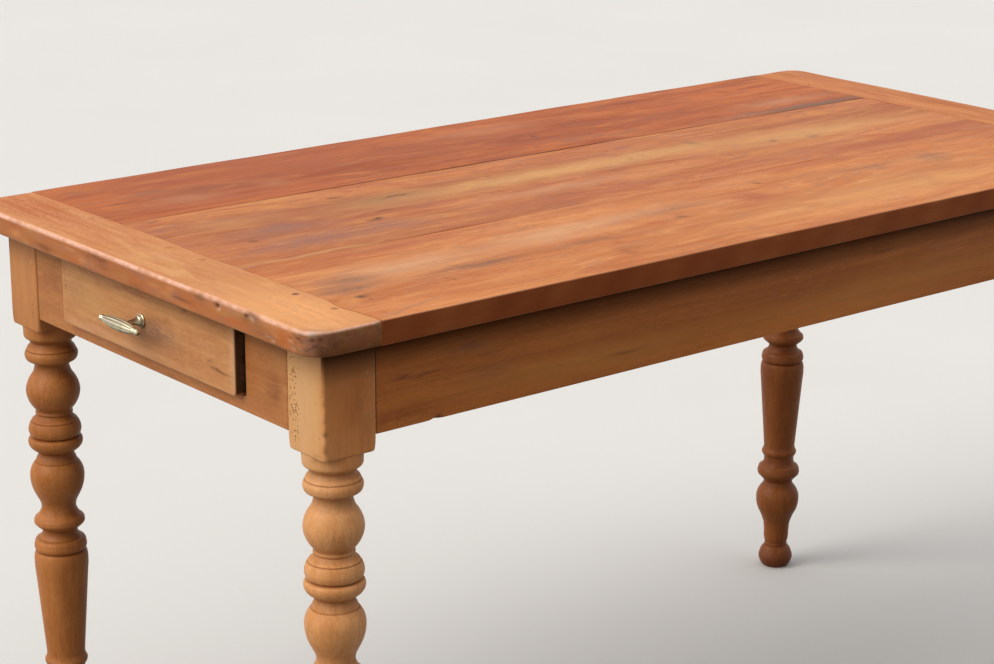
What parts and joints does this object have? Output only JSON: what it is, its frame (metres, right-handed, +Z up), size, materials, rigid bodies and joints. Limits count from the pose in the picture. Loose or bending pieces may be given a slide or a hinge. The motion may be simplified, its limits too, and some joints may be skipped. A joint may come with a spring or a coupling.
{
  "type": "kitchen table with drawers",
  "caption": "Old farmhouse kitchen table in waxed fruitwood, with turned legs, a planked top with breadboard ends, and a sliding drawer with a brass pull at each end.",
  "frame": {"origin": "on the floor under the middle of the table", "axes": "+X along the table, away from the drawer that the picture shows, +Y across it to the far side, +Z up"},
  "size_m": [1.391, 0.696, 0.76],
  "materials": {
    "top_planks": "waxed and worn",
    "breadboards": "waxed and worn",
    "legs": "waxed",
    "aprons": "waxed",
    "end_boards": "waxed",
    "drawer_fronts": "waxed and worn",
    "drawer_boxes": "bare, planed",
    "inner_frame": "bare, sawn",
    "pegs": "waxed",
    "pull_brass": "aged",
    "iron_fasteners": "dark, hand forged"
  },
  "bodies": {
    "frame": {"apron_back": "aprons", "apron_front": "aprons", "bearer_left": "inner_frame", "bearer_right": "inner_frame", "breadboard_left": "breadboards", "breadboard_pegs": "pegs", "breadboard_right": "breadboards", "button_screws": "iron_fasteners", "end_board_left": "end_boards", "end_board_right": "end_boards", "guide_left_back": "inner_frame", "guide_left_front": "inner_frame", "guide_right_back": "inner_frame", "guide_right_front": "inner_frame", "leg_back_left": "legs", "leg_back_right": "legs", "leg_front_left": "legs", "leg_front_right": "legs", "plank_back": "top_planks", "plank_front": "top_planks", "plank_middle": "top_planks", "runner_left_back": "inner_frame", "runner_left_front": "inner_frame", "runner_right_back": "inner_frame", "runner_right_front": "inner_frame", "tenon_pegs": "pegs", "top_buttons": "inner_frame"},
    "drawer_left": {"drawer_left_back": "drawer_boxes", "drawer_left_bottom": "drawer_boxes", "drawer_left_front": "drawer_fronts", "drawer_left_nails": "iron_fasteners", "drawer_left_side_back": "drawer_boxes", "drawer_left_side_front": "drawer_boxes", "pull_left_grip": "pull_brass", "pull_left_nut": "iron_fasteners", "pull_left_post": "pull_brass", "pull_left_rose": "pull_brass", "pull_left_stud": "iron_fasteners"},
    "drawer_right": {"drawer_right_back": "drawer_boxes", "drawer_right_bottom": "drawer_boxes", "drawer_right_front": "drawer_fronts", "drawer_right_nails": "iron_fasteners", "drawer_right_side_back": "drawer_boxes", "drawer_right_side_front": "drawer_boxes", "pull_right_grip": "pull_brass", "pull_right_nut": "iron_fasteners", "pull_right_post": "pull_brass", "pull_right_rose": "pull_brass", "pull_right_stud": "iron_fasteners"}
  },
  "joints": [
    {"name": "drawer_left_slide", "type": "slide", "parent": "frame", "child": "drawer_left", "axis": [-1, 0, 0], "range_m": [-0.011, 0.33]},
    {"name": "drawer_right_slide", "type": "slide", "parent": "frame", "child": "drawer_right", "axis": [1, 0, 0], "range_m": [-0.011, 0.33]}
  ]
}
